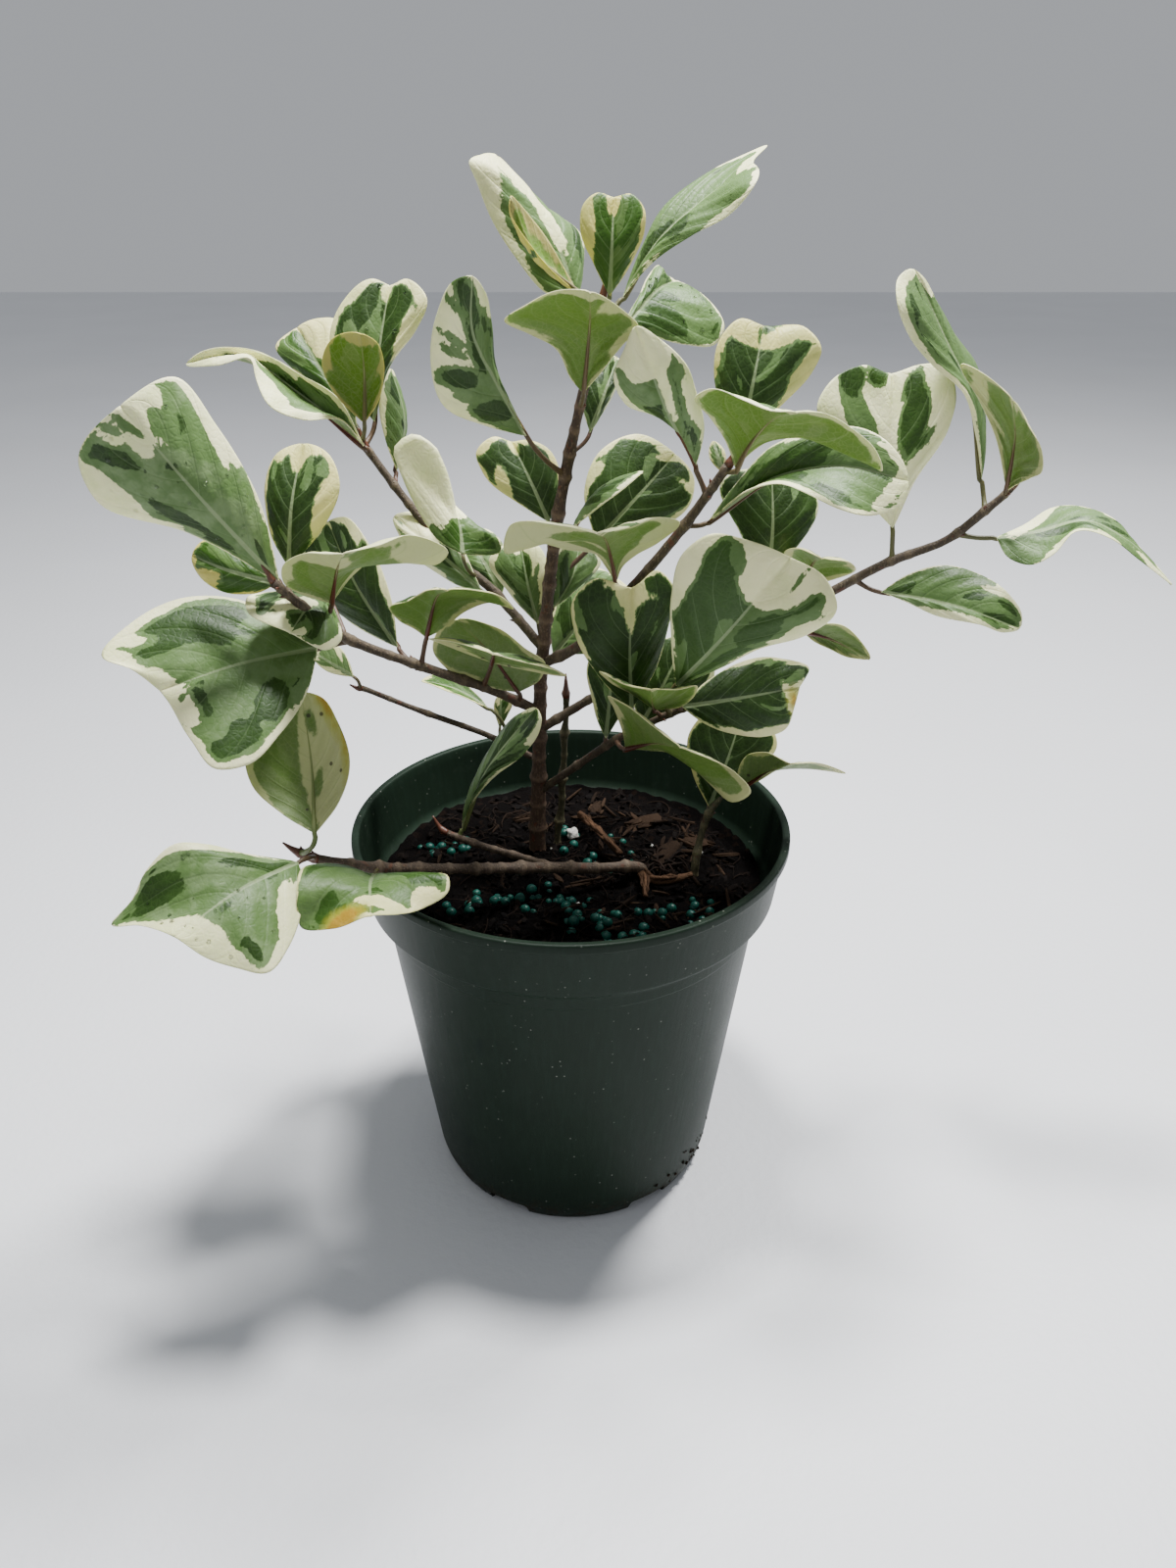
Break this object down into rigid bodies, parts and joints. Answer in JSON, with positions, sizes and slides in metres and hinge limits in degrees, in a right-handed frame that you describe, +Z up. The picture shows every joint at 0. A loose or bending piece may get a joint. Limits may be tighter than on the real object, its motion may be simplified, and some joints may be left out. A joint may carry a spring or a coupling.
{
  "type": "potted triangle fig",
  "caption": "Small branching variegated triangle fig in a round tapered plastic nursery pot filled with potting mix.",
  "frame": {"origin": "on the pot's axis, at the flat foot that it stands on", "axes": "+Z up along the pot's axis; +X to the right and +Y to the back as the plant is seen from the front"},
  "size_m": [0.3496, 0.1802, 0.3766],
  "materials": {
    "pot_plastic": "satin dark green injection moulded plastic",
    "potting_mix": "dark moist bark and peat mix with green fertiliser beads",
    "dry_wood": "rough dry split wood",
    "variegated_leaf": "satin leathery leaves, green with cream edges, on brown woody stems"
  },
  "bodies": {
    "root": {"pot": "pot_plastic", "soil": "potting_mix", "stick": "dry_wood", "trunk_crown": "variegated_leaf", "branch_left": "variegated_leaf", "branch_upper_left": "variegated_leaf", "branch_right": "variegated_leaf", "branch_far_right": "variegated_leaf", "branch_low_right": "variegated_leaf", "branch_thin": "variegated_leaf", "stem_low": "variegated_leaf", "stem_green": "variegated_leaf", "seedling": "variegated_leaf"}
  },
  "joints": []
}
